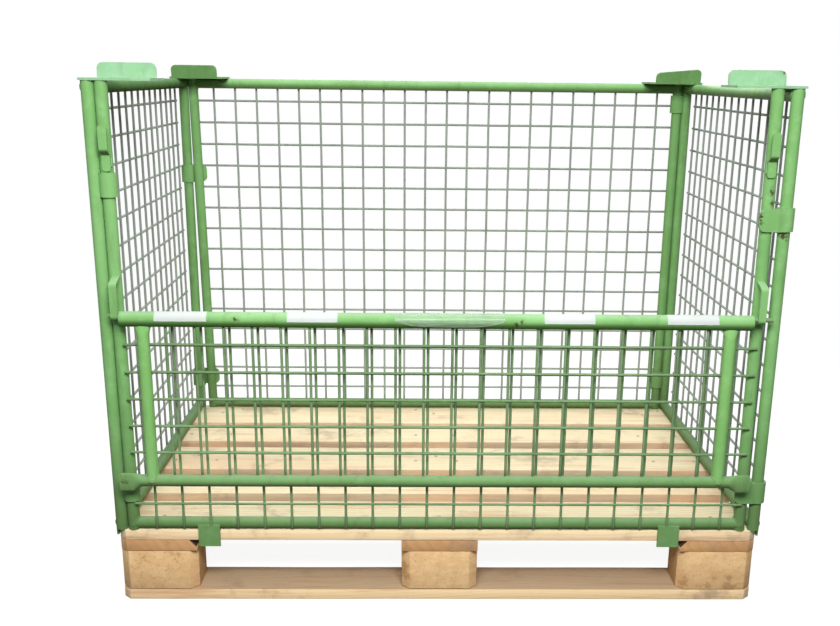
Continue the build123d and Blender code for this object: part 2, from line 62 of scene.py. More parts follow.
# Shader graphs
class Value:
    """One socket of a shader graph. Arithmetic on it adds Math nodes."""

    def __init__(self, graph: "Graph", socket: bpy.types.NodeSocket) -> None:
        """Keep the graph and the output socket."""
        self.graph = graph
        self.socket = socket

    def _math(self, operation: str, first: "Value | float", second: "Value | float") -> "Value":
        """Add one Math node.

        Args:
            operation: The node's operation.
            first: Its first input.
            second: Its second input.

        Returns:
            The node's output.
        """
        return self.graph.node("ShaderNodeMath", {"operation": operation}, {0: first, 1: second})

    def __add__(self, other: "Value | float") -> "Value":
        """Sum."""
        return self._math("ADD", self, other)

    __radd__ = __add__

    def __sub__(self, other: "Value | float") -> "Value":
        """Difference."""
        return self._math("SUBTRACT", self, other)

    def __rsub__(self, other: "Value | float") -> "Value":
        """Difference, with this value taken away."""
        return self._math("SUBTRACT", other, self)

    def __mul__(self, other: "Value | float") -> "Value":
        """Product."""
        return self._math("MULTIPLY", self, other)

    __rmul__ = __mul__

    def __pow__(self, other: "Value | float") -> "Value":
        """Power."""
        return self._math("POWER", self, other)

    def __mod__(self, other: "Value | float") -> "Value":
        """Remainder, always positive."""
        return self._math("FLOORED_MODULO", self, other)

    def __abs__(self) -> "Value":
        """Size without sign."""
        return self._math("ABSOLUTE", self, 0.0)

    def above(self, low: float, high: float) -> "Value":
        """Smooth step.

        Args:
            low: Where the step starts, at 0.
            high: Where it ends, at 1.

        Returns:
            The step's value.
        """
        sockets = {"Value": self, "From Min": low, "From Max": high}
        return self.graph.node("ShaderNodeMapRange", {"interpolation_type": "SMOOTHSTEP"}, sockets)

    def output(self, index: int) -> "Value":
        """Another output of the same node."""
        return Value(self.graph, self.socket.node.outputs[index])


class Graph:
    """A material's or a world's node tree, with short ways to add to it."""

    def __init__(self, owner: bpy.types.Material | bpy.types.World) -> None:
        """Start an empty tree on its owner."""
        owner.use_nodes = True
        self.tree = owner.node_tree
        self.tree.nodes.clear()

    def node(self, kind: str, settings: dict, sockets: dict, output: int = 0) -> Value:
        """Add a node.

        Args:
            kind: The node's type.
            settings: Its own settings, set first.
            sockets: Values or links for its inputs, by name or number.
            output: Which output to give back.

        Returns:
            The chosen output.
        """
        made = self.tree.nodes.new(kind)
        for name, value in settings.items():
            setattr(made, name, value)
        for key, value in sockets.items():
            if isinstance(value, Value):
                self.tree.links.new(value.socket, made.inputs[key])
            else:
                made.inputs[key].default_value = value
        return Value(self, made.outputs[output] if made.outputs else None)

    def place(self, shift: Place = (0, 0, 0), turn: float = 0.0) -> Value:
        """Object coordinates, turned about the upright axis and moved.

        Args:
            shift: Offset in metres.
            turn: Turn in degrees.

        Returns:
            The coordinates.
        """
        here = self.node("ShaderNodeTexCoord", {}, {}, output=3)
        sockets = {"Vector": here, "Location": shift, "Rotation": (0, 0, math.radians(turn))}
        return self.node("ShaderNodeMapping", {}, sockets)

    def stretched(self, place: Value, scale: Place) -> Value:
        """Coordinates scaled apart along the axes."""
        return self.node("ShaderNodeMapping", {}, {"Vector": place, "Scale": scale})

    def noise(self, place: Value, scale: float, detail: float = 3.0, rough: float = 0.5) -> Value:
        """Soft noise between about 0.2 and 0.8.

        Args:
            place: Coordinates.
            scale: Lumps to the metre.
            detail: Octaves.
            rough: Weight of the finer octaves.

        Returns:
            The noise.
        """
        sockets = {"Vector": place, "Scale": scale, "Detail": detail, "Roughness": rough}
        return self.node("ShaderNodeTexNoise", {}, sockets)

    def mix(self, factor: Value | float, first: "Value | Colour", second: "Value | Colour") -> Value:
        """Blend two colours.

        Args:
            factor: Share of the second one.
            first: Colour at 0.
            second: Colour at 1.

        Returns:
            The blend.
        """
        sockets = {0: factor, 6: opaque(first), 7: opaque(second)}
        return self.node("ShaderNodeMix", {"data_type": "RGBA", "clamp_factor": True}, sockets, output=2)

    def bump(self, height: Value, strength: float, depth: float) -> Value:
        """Surface relief.

        Args:
            height: Height from 0 to 1.
            strength: How much of it shows.
            depth: Depth in metres.

        Returns:
            The bent normal.
        """
        sockets = {"Height": height, "Strength": strength, "Distance": depth}
        return self.node("ShaderNodeBump", {}, sockets)

    def surface(self, sockets: dict) -> None:
        """Finish with a Principled shader.

        Args:
            sockets: Its inputs.
        """
        shader = self.node("ShaderNodeBsdfPrincipled", {}, sockets)
        self.node("ShaderNodeOutputMaterial", {}, {"Surface": shader})


def opaque(colour: Value | Colour) -> Value | tuple[float, float, float, float]:
    """A plain colour with full alpha, or the value as it is."""
    return colour if isinstance(colour, Value) else (*colour, 1.0)


def scattered(seed: float) -> Place:
    """Offset that gives each board its own piece of the pattern."""
    return (seed * 1.37, seed * 0.61, seed * 0.43)


# Finishes
@dataclass(frozen=True)
class Enamel:
    """Green enamel with a painted highlight on top, painted shade below and low down, dirt runs, chips and a
    little rust.

    The spans top_from and under_from are shares of the normal that point up and down, and low_from is a span
    of heights in metres.
    """

    name: str
    base: Colour
    dull: Colour
    pale: Colour
    roughness: float = 0.38
    shine: float = 0.03
    chips: float = 0.5
    # Painted highlight on up-facing surfaces, then painted shade low down and on down-facing surfaces
    top_highlight: float = 0.38
    low_shade: float = 0.3
    under_shade: float = 0.6
    top_from: Span = (0.3, 1.0)
    low_from: Span = (0.13, 0.42)
    under_from: Span = (0.05, 0.8)
    rust_at: tuple[Spot, ...] = ()
    rust: Colour = (0.06, 0.035, 0.018)
    # The first colour here serves dirt runs, chips and the painted shade; the last is the painted highlight's
    # tint.
    grime_and_shade: Colour = (0.075, 0.10, 0.035)
    highlight_tint: Colour = (0.37, 0.50, 0.35)

    def rusted(self, graph: Graph, place: Value, speckle: Value) -> Value:
        """Rust round the given places.

        Args:
            graph: The material's graph.
            place: Object coordinates.
            speckle: Fine noise that breaks the edge up.

        Returns:
            The rust's share, from 0 to 1.
        """
        total = speckle * 0.0
        for x, y, z, reach in self.rust_at:
            ends = {0: place, 1: (x, y, z)}
            gap = graph.node("ShaderNodeVectorMath", {"operation": "DISTANCE"}, ends, output=1)
            near = 1 - gap.above(0, reach)
            total = total + (speckle + (1 - gap * (1 / reach)) * 0.35).above(0.66, 0.8) * near
        return total

    def material(self) -> bpy.types.Material:
        """Build the material.

        Returns:
            The material.
        """
        made = bpy.data.materials.new(self.name)
        graph = Graph(made)
        place = graph.place()
        patches = graph.noise(place, 5.0, 3.0)
        mottle = graph.noise(place, 38.0, 4.0, 0.6)
        speckle = graph.noise(place, 210.0, 5.0, 0.65)
        streaks = graph.noise(graph.stretched(place, (60, 60, 7)), 1.0, 4.0, 0.6)
        peel = graph.noise(place, 900.0, 2.0)
        colour = graph.mix(patches.above(0.36, 0.66), self.dull, self.base)
        colour = graph.mix(mottle.above(0.45, 0.75) * 0.55, colour, self.pale)
        # Painted highlight on top, painted shade low down and underneath
        facing = graph.node("ShaderNodeSeparateXYZ", {}, {
            0: graph.node("ShaderNodeTexCoord", {}, {}, output=1)})
        height = graph.node("ShaderNodeSeparateXYZ", {}, {0: place}).output(2)
        colour = graph.mix(facing.output(2).above(*self.top_from) * self.top_highlight, colour, self.highlight_tint)
        colour = graph.mix((1 - height.above(*self.low_from)) * self.low_shade, colour, self.grime_and_shade)
        below = (facing.output(2) * -1.0).above(*self.under_from) * self.under_shade
        colour = graph.mix(below, colour, self.grime_and_shade)
        # Runs, chips and rust
        dirt = streaks.above(0.52, 0.78) * 0.3
        colour = graph.mix(dirt, colour, self.grime_and_shade)
        chipped = (speckle + mottle * 0.35).above(0.86, 0.92) * self.chips
        colour = graph.mix(chipped, colour, self.grime_and_shade)
        rusted = self.rusted(graph, place, speckle)
        colour = graph.mix(rusted, colour, self.rust)
        rough = self.roughness + mottle * 0.16 + dirt * 0.2 + rusted * 0.35 - 0.08
        relief = peel * 0.25 + (1 - chipped) * 0.5 + rusted * speckle
        graph.surface({
            "Base Color": colour,
            "Roughness": rough,
            "Specular IOR Level": self.shine,
            "Normal": graph.bump(relief, 0.35, 0.0004),
        })
        return made


@dataclass
class Paints:
    """The paints of the cage, each made once.

    The tones are a paint's own colour, its dull patches and its pale mottle. A worn spot is a place and its
    reach.
    """

    green: Tones = ((0.22, 0.455, 0.165), (0.18, 0.39, 0.13), (0.275, 0.52, 0.215))
    # Painted shade: a darker copy of the green for the left wall's top rail.
    shaded_rail_tones: Tones = ((0.12, 0.25, 0.095), (0.10, 0.205, 0.075), (0.16, 0.30, 0.13))
    # Painted shade: a darker copy of the green for the rear stacking plates.
    dark: Tones = ((0.175, 0.365, 0.13), (0.145, 0.31, 0.105), (0.22, 0.42, 0.17))
    # Painted highlight: a paler, bluer copy of the green for the front stacking plates.
    lit_plate_tones: Tones = ((0.27, 0.48, 0.29), (0.235, 0.43, 0.245), (0.33, 0.55, 0.35))
    # Painted light: a lighter copy of the green for the flap's side tubes.
    lit_tube_tones: Tones = ((0.24, 0.50, 0.165), (0.205, 0.45, 0.135), (0.29, 0.56, 0.21))
    mossy: Tones = ((0.19, 0.31, 0.15), (0.15, 0.25, 0.115), (0.24, 0.37, 0.19))
    # Painted light: pale grey-green for the rear and side wires, standing in for glare from the white
    # background.
    glare_tones: Tones = ((0.34, 0.395, 0.345), (0.29, 0.335, 0.295), (0.40, 0.455, 0.405))
    worn: tuple[Spot, ...] = (
        (0.5615, -0.402, 0.774, 0.014), (0.5636, -0.402, 0.754, 0.011), (0.590, -0.402, 0.699, 0.02),
        (-0.572, -0.424, 0.253, 0.022))
    nicked: tuple[Spot, ...] = ((0.596, -0.302, 0.973, 0.018),)
    smeared: tuple[Spot, ...] = (
        (0.128, -0.4342, 0.5445, 0.012), (0.138, -0.4345, 0.5505, 0.009), (-0.360, -0.4345, 0.5525, 0.009))
    scraped: tuple[Spot, ...] = (
        (0.5465, -0.406, 0.720, 0.008), (0.5465, -0.406, 0.727, 0.008), (0.5465, -0.406, 0.734, 0.008))

    def __post_init__(self) -> None:
        """Make the materials."""
        # All these paints carry painted shade underneath and, but for the wire paint, a painted highlight on
        # top; the tube, rail and strap paints are also darker low down, as painted shade.
        self.tube = Enamel("tube_enamel", *self.green, low_shade=0.62, rust_at=self.worn).material()
        # On the rails the painted shade underneath reaches further up their sides.
        self.rail = Enamel("rail_enamel", *self.green, low_shade=0.53, under_from=(-0.25, 0.55),
                           rust_at=self.worn).material()
        # Painted shade: the left wall's top rail in a darker copy of the green.
        self.shaded_rail = Enamel("shaded_rail_enamel", *self.shaded_rail_tones, roughness=0.75, shine=0.0, top_highlight=0.1,
                            low_shade=0.0).material()
        # Painted shade: the rear stacking plates in a darker copy of the green.
        self.shaded_plate = Enamel("shaded_plate_enamel", *self.dark, low_shade=0.0).material()
        # The hinge rail has a strong painted shade on its underside, in a darker green.
        self.hinge = Enamel("hinge_rail_enamel", *self.green, low_shade=0.0, under_shade=0.85,
                            under_from=(-0.25, 0.5), grime_and_shade=(0.045, 0.11, 0.015),
                            rust_at=self.smeared).material()
        self.strap = Enamel("strap_enamel", *self.green, roughness=0.36, low_shade=0.35,
                            rust_at=self.scraped).material()
        # Painted highlight: the front stacking plates in a paler, bluer copy of the green.
        self.lit_plate = Enamel("lit_plate_enamel", *self.lit_plate_tones, low_shade=0.0, rust_at=self.nicked).material()
        # Painted light: the flap's side tubes in a lighter copy of the green.
        self.bright = Enamel("lit_flap_tube_enamel", *self.lit_tube_tones, low_shade=0.0).material()
        self.wire = Enamel("wire_enamel", *self.mossy, top_highlight=0.0, low_shade=0.0).material()
        # Painted light: the rear and side wires in pale grey-green, as glare.
        self.glare_wire = Enamel("glare_wire_enamel", *self.glare_tones, low_shade=0.0).material()

    def of(self, node: str) -> bpy.types.Material | None:
        """Paint of a tube or strap node.

        Args:
            node: The node's name.

        Returns:
            Its paint, or None for a node that isn't painted here.
        """
        by_start = {
            "stacking_plate_front": self.lit_plate,
            "stacking_plate_rear": self.shaded_plate,
            "flap_side_tube": self.bright,
            "flap_hinge_rail": self.hinge,
            "left_wall_top_rail": self.shaded_rail,
            "hinge_rod": self.wire,
            "hinge_staple": self.strap,
            "catch_hook": self.strap,
            "corner_": self.strap,
            "deck_lugs": self.strap,
        }
        for start, paint in by_start.items():
            if node.startswith(start):
                return paint
        if node.endswith("_rail"):
            return self.rail
        return self.tube if "_wall_post" in node else None


class Grain(Enum):
    """Which way a board's fibres run."""

    ALONG_X = 0.0
    ALONG_Y = 90.0


@dataclass(frozen=True)
class Pine:
    """Sawn pine with growth rings, knots, fibres, saw marks and handling grime, and painted shade on
    up-facing faces and the wane.
    """

    name: str
    grain: Grain
    seed: float
    pale: Colour = (0.93, 0.83, 0.57)
    amber: Colour = (0.80, 0.58, 0.30)
    heart: Colour = (0.84, 0.58, 0.36)
    knot: Colour = (0.30, 0.15, 0.06)
    # Dirt colour, also used for the painted shade on up-facing faces.
    grime_and_shade: Colour = (0.34, 0.23, 0.15)
    edge: Colour = (0.95, 0.68, 0.38)
    edge_tint: float = 0.6
    streak: Colour = (0.70, 0.43, 0.27)
    streaks: float = 0.6
    # Near-black, for bark and the painted shade of the wane's notch.
    bark: Colour = (0.06, 0.035, 0.02)
    rings: float = 150.0
    pith_depth: float = 90 * MM
    dirt: float = 0.5
    top_shade: float = 0.0
    wane_bark_and_shade: float = 0.0
    knots: float = 1.0

    def material(self) -> bpy.types.Material:
        """Build the material.

        Returns:
            The material.
        """
        made = bpy.data.materials.new(self.name)
        graph = Graph(made)
        place = graph.place(scattered(self.seed), self.grain.value)
        # Knots, in some of a scatter of long cells
        lumps = graph.node("ShaderNodeTexVoronoi", {}, {
            "Vector": graph.stretched(place, (2.3, 8.0, 5.0)), "Scale": 1.0, "Randomness": 1.0})
        chance = graph.node("ShaderNodeSeparateColor", {}, {0: lumps.output(1)})
        near_knot = (1 - lumps.above(0.0, 0.34)) * chance.above(0.5, 0.52)
        core = (1 - lumps.above(0.05, 0.11)) * chance.above(0.5, 0.52)
        # Growth rings round a pith below the board, bent by slow drift, ripples and knots
        drift = graph.noise(graph.stretched(place, (0.9, 3.2, 3.2)), 1.0, 2.0)
        ripple = graph.noise(graph.stretched(place, (5, 60, 60)), 1.0, 3.0)
        parts = graph.node("ShaderNodeSeparateXYZ", {}, {0: place})
        side = parts.output(1)
        up = parts.output(2)
        pith = up + self.pith_depth
        radius = (side * side + pith * pith) ** 0.5
        radius = radius + drift * 0.10 + ripple * 0.006 + near_knot * 0.022
        ring = (radius * self.rings) % 1.0
        late = ring.above(0.35, 0.9) * (1 - ring.above(0.93, 1.0))
        # Fibres, broad zones, smudges and saw marks
        fibre = graph.noise(graph.stretched(place, (9, 520, 520)), 1.0, 3.0, 0.6)
        zone = graph.noise(graph.stretched(place, (1.3, 9, 9)), 1.0, 3.0)
        smudge = graph.noise(place, 11.0, 5.0, 0.65)
        saw = graph.noise(graph.stretched(place, (330, 6, 6)), 1.0, 1.0)
        colour = graph.mix(late * 0.55 + fibre.above(0.5, 0.8) * 0.28, self.pale, self.amber)
        colour = graph.mix(zone.above(0.48, 0.72) * 0.6, colour, self.heart)
        # End grain and edges, then streaks and dirt over all, with painted shade on up-facing faces and the
        # wane
        normal = graph.node("ShaderNodeSeparateXYZ", {}, {
            0: graph.node("ShaderNodeNewGeometry", {}, {}, output=1)})
        along = normal if self.grain is Grain.ALONG_X else normal.output(1)
        across = normal.output(1) if self.grain is Grain.ALONG_X else normal
        colour = graph.mix(abs(along).above(0.6, 0.9) * 0.55, colour, self.amber)
        colour = graph.mix(abs(across).above(0.6, 0.9) * self.edge_tint, colour, self.edge)
        band = graph.noise(graph.stretched(place, (3.2, 46, 46)), 1.0, 5.0, 0.65)
        colour = graph.mix(band.above(0.5, 0.7) * self.streaks, colour, self.streak)
        colour = graph.mix(smudge.above(0.52, 0.74) * self.dirt, colour, self.grime_and_shade)
        colour = graph.mix(core * self.knots, colour, self.knot)
        # Painted shadow: up-facing faces darker, where the deck shades the bottom boards.
        colour = graph.mix(normal.output(2).above(0.6, 0.9) * self.top_shade, colour, self.grime_and_shade)
        # Near-black on the wane: bark with the painted shade of the notch.
        sloping = (abs(across) * normal.output(2)).above(0.35, 0.45)
        colour = graph.mix(sloping * self.wane_bark_and_shade, colour, self.bark)
        relief = (1 - late) * 0.4 + fibre * 0.5 + saw * 0.25 - core * 0.3
        graph.surface({
            "Base Color": colour,
            "Roughness": 0.62 + fibre * 0.25,
            "Specular IOR Level": 0.3,
            "Normal": graph.bump(relief, 0.5, 0.0006),
        })
        return made


@dataclass(frozen=True)
class PressedWood:
    """Block of pressed wood chips, with pale and brown flakes, dark specks and painted shade on its faces
    along X.
    """

    name: str
    seed: float
    pale: Colour = (0.84, 0.575, 0.30)
    brown: Colour = (0.70, 0.42, 0.19)
    dark: Colour = (0.34, 0.18, 0.08)
    shaded: Colour = (0.36, 0.20, 0.09)

    def material(self) -> bpy.types.Material:
        """Build the material.

        Returns:
            The material.
        """
        made = bpy.data.materials.new(self.name)
        graph = Graph(made)
        place = graph.place(scattered(self.seed))
        broad = graph.noise(place, 14.0, 3.0)
        bent = graph.noise(place, 45.0, 3.0, 0.6)
        flakes = graph.node("ShaderNodeTexVoronoi", {}, {
            "Vector": graph.stretched(place, (70, 110, 130)), "Scale": 1.0, "Randomness": 1.0})
        tone = graph.node("ShaderNodeSeparateColor", {}, {0: flakes.output(1)})
        specks = graph.noise(place, 240.0, 4.0, 0.6)
        blend = tone * 0.45 + bent.above(0.35, 0.7) * 0.35 + broad.above(0.4, 0.7) * 0.3
        colour = graph.mix(blend, self.pale, self.brown)
        marks = specks.above(0.56, 0.72) * 0.55 + (bent * broad).above(0.33, 0.41) * 0.45
        colour = graph.mix(marks, colour, self.dark)
        facing = graph.node("ShaderNodeSeparateXYZ", {}, {
            0: graph.node("ShaderNodeTexCoord", {}, {}, output=1)})
        # Painted shade: faces that face along X are darker.
        colour = graph.mix(abs(facing).above(0.75, 0.95) * 0.5, colour, self.shaded)
        graph.surface({
            "Base Color": colour,
            "Roughness": 0.72 + specks * 0.2,
            "Specular IOR Level": 0.25,
            "Normal": graph.bump(tone * 0.4 + specks * 0.6, 0.45, 0.0006),
        })
        return made


@dataclass(frozen=True)
class Steel:
    """Bare steel gone dull, with brown spots."""

    name: str
    bright: Colour
    brown: Colour
    roughness: float
    spots: float

    def material(self) -> bpy.types.Material:
        """Build the material.

        Returns:
            The material.
        """
        made = bpy.data.materials.new(self.name)
        graph = Graph(made)
        place = graph.place()
        spots = graph.noise(place, 140.0, 4.0, 0.6).above(0.5, 0.7) * self.spots
        lines = graph.noise(graph.stretched(place, (20, 900, 900)), 1.0, 2.0)
        graph.surface({
            "Base Color": graph.mix(spots, self.bright, self.brown),
            "Metallic": (1 - spots) * 0.4,
            "Roughness": self.roughness + lines * 0.15 + spots * 0.3,
            "Normal": graph.bump(lines, 0.15, 0.0002),
        })
        return made


@dataclass(frozen=True)
class Nylon:
    """Matt moulded plastic."""

    name: str
    tint: Colour

    def material(self) -> bpy.types.Material:
        """Build the material.

        Returns:
            The material.
        """
        made = bpy.data.materials.new(self.name)
        graph = Graph(made)
        grain = graph.noise(graph.place(), 700.0, 3.0)
        graph.surface({
            "Base Color": graph.mix(grain.above(0.4, 0.7), self.tint, tuple(c * 1.6 for c in self.tint)),
            "Roughness": 0.5 + grain * 0.2,
            "Normal": graph.bump(grain, 0.2, 0.0003),
        })
        return made


@dataclass(frozen=True)
class LabelPaper:
    """Blank white label paper, scuffed and a little yellowed."""

    name: str
    white: Colour = (0.49, 0.53, 0.51)
    aged: Colour = (0.43, 0.45, 0.41)
    scuff: Colour = (0.34, 0.34, 0.33)

    def material(self) -> bpy.types.Material:
        """Build the material.

        Returns:
            The material.
        """
        made = bpy.data.materials.new(self.name)
        graph = Graph(made)
        place = graph.place()
        age = graph.noise(place, 30.0, 4.0)
        rub = graph.noise(graph.stretched(place, (60, 420, 420)), 1.0, 4.0, 0.65)
        fibre = graph.noise(place, 1500.0, 2.0)
        colour = graph.mix(age.above(0.45, 0.8) * 0.5, self.white, self.aged)
        colour = graph.mix(rub.above(0.6, 0.8) * 0.35, colour, self.scuff)
        graph.surface({
            "Base Color": colour,
            "Roughness": 0.5 + fibre * 0.2,
            "Normal": graph.bump(fibre + rub * 0.5, 0.25, 0.0002),
        })
        return made


@dataclass(frozen=True)
class ClearFilm:
    """Clear packing film, milky along its creases and its slack lower edge.

    The lower edge is at the height ends_at at both ends, and sags by slack at the middle.
    """

    name: str
    middle: float
    half: float
    milk: Colour = (0.50, 0.62, 0.50)
    ends_at: float = 552.0 * MM
    slack: float = 11.4 * MM
    rim: float = 1.6 * MM

    def material(self) -> bpy.types.Material:
        """Build the material.

        Returns:
            The material.
        """
        made = bpy.data.materials.new(self.name)
        graph = Graph(made)
        place = graph.place()
        creases = graph.noise(graph.stretched(place, (14, 260, 260)), 1.0, 4.0, 0.6)
        ends = graph.noise(place, 60.0, 3.0)
        spot = graph.node("ShaderNodeSeparateXYZ", {}, {0: place})
        along = (spot - self.middle) * (1 / self.half)
        hem = self.ends_at - (1 - (along * along) ** 2.0) * self.slack
        over = spot.output(2) + creases * self.rim - hem
        covered = over.above(0.0, self.rim / 2)
        milky = 0.12 + creases.above(0.5, 0.78) * 0.45 + ends.above(0.55, 0.8) * 0.1
        milky = milky + (1 - over.above(self.rim / 2, self.rim * 1.5)) * 0.35
        graph.surface({
            "Base Color": opaque(self.milk),
            "Roughness": 0.12 + ends * 0.2,
            "Alpha": milky * covered,
            "Normal": graph.bump(creases, 0.5, 0.0008),
        })
        return made


# Modelling by hand
class Pick(Enum):
    """What kind of element a selection takes."""

    FACE = "FACE"
    EDGE = "EDGE"
    VERT = "VERT"


def activate(piece: bpy.types.Object) -> None:
    """Select one object alone and make it active."""
    bpy.ops.object.select_all(action="DESELECT")
    piece.select_set(True)
    bpy.context.view_layer.objects.active = piece


def pick(piece: bpy.types.Object, kind: Pick, test: Callable[..., bool]) -> None:
    """Select elements of a mesh by their place, outside edit mode.

    Args:
        piece: The object.
        kind: Faces, edges or vertices.
        test: Takes a face's centre and normal, an edge's middle and direction, or a vertex's place.
    """
    mesh = piece.data
    for group in (mesh.polygons, mesh.edges, mesh.vertices):
        group.foreach_set("select", [False] * len(group))
    if kind is Pick.FACE:
        for face in mesh.polygons:
            face.select = test(face.center, face.normal)
    elif kind is Pick.EDGE:
        for edge in mesh.edges:
            first, second = (mesh.vertices[i].co for i in edge.vertices)
            edge.select = test((first + second) / 2, second - first)
    else:
        for vertex in mesh.vertices:
            vertex.select = test(vertex.co)


@contextmanager
def editing(piece: bpy.types.Object, kind: Pick = Pick.FACE, whole: bool = False) -> Iterator[None]:
    """Edit mode on one object.

    Args:
        piece: The object.
        kind: The selection mode.
        whole: Whether everything is selected first, in place of what was picked.

    Yields:
        Nothing, while the object is in edit mode.
    """
    activate(piece)
    bpy.context.tool_settings.mesh_select_mode = (kind is Pick.VERT, kind is Pick.EDGE, kind is Pick.FACE)
    bpy.ops.object.mode_set(mode="EDIT")
    if whole:
        bpy.ops.mesh.select_all(action="SELECT")
    yield
    bpy.ops.object.mode_set(mode="OBJECT")


def settle(piece: bpy.types.Object) -> None:
    """Put the object's place, turn and scale into its mesh."""
    activate(piece)
    bpy.ops.object.transform_apply(location=True, rotation=True, scale=True)


def modified(piece: bpy.types.Object, kind: str, **settings: object) -> None:
    """Add a modifier, set it and apply it.

    Args:
        piece: The object.
        kind: The modifier's type.
        **settings: Its settings.
    """
    activate(piece)
    modifier = piece.modifiers.new(kind.lower(), kind)
    for name, value in settings.items():
        setattr(modifier, name, value)
    bpy.ops.object.modifier_apply(modifier=modifier.name)


def clouds(name: str, size: float, coloured: bool = False) -> bpy.types.Texture:
    """Cloud texture for displacement.

    Args:
        name: The texture's name.
        size: Size of the lumps in metres.
        coloured: Whether the three channels differ.

    Returns:
        The texture.
    """
    made = bpy.data.textures.new(name, "CLOUDS")
    made.noise_scale = size
    made.noise_depth = 2
    made.cloud_type = "COLOR" if coloured else "GRAYSCALE"
    return made


def joined(parts: list[bpy.types.Object], name: str) -> bpy.types.Object:
    """Join objects into the first one.

    Args:
        parts: The objects.
        name: The new object's name.

    Returns:
        The joined object.
    """
    bpy.ops.object.select_all(action="DESELECT")
    for part in parts:
        part.select_set(True)
    bpy.context.view_layer.objects.active = parts[0]
    if len(parts) > 1:
        bpy.ops.object.join()
    parts[0].name = name
    parts[0].data.name = name
    return parts[0]


def smoothed(piece: bpy.types.Object, degrees: float = 35.0) -> None:
    """Shade smooth except across sharp edges."""
    activate(piece)
    bpy.ops.object.shade_smooth_by_angle(angle=math.radians(degrees))


def dress(piece: bpy.types.Object, body: str, slot: str, material: bpy.types.Material, *nodes: str) -> None:
    """Give a new piece its material and body, and hide the nodes that it stands for.

    Args:
        piece: The new piece.
        body: The body that it rides on.
        slot: Not used.
        material: Its material.
        *nodes: Nodes that it replaces.
    """
    piece.data.materials.clear()
    piece.data.materials.append(material)
    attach(piece, body)
    if nodes:
        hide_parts(*nodes)
    LOG.info("%s: %d faces", piece.name, len(piece.data.polygons))


def paint_node(node: str, material: bpy.types.Material) -> None:
    """Give a CAD node a finish."""
    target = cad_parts[node]
    for entry in target.material_slots:
        entry.material = material


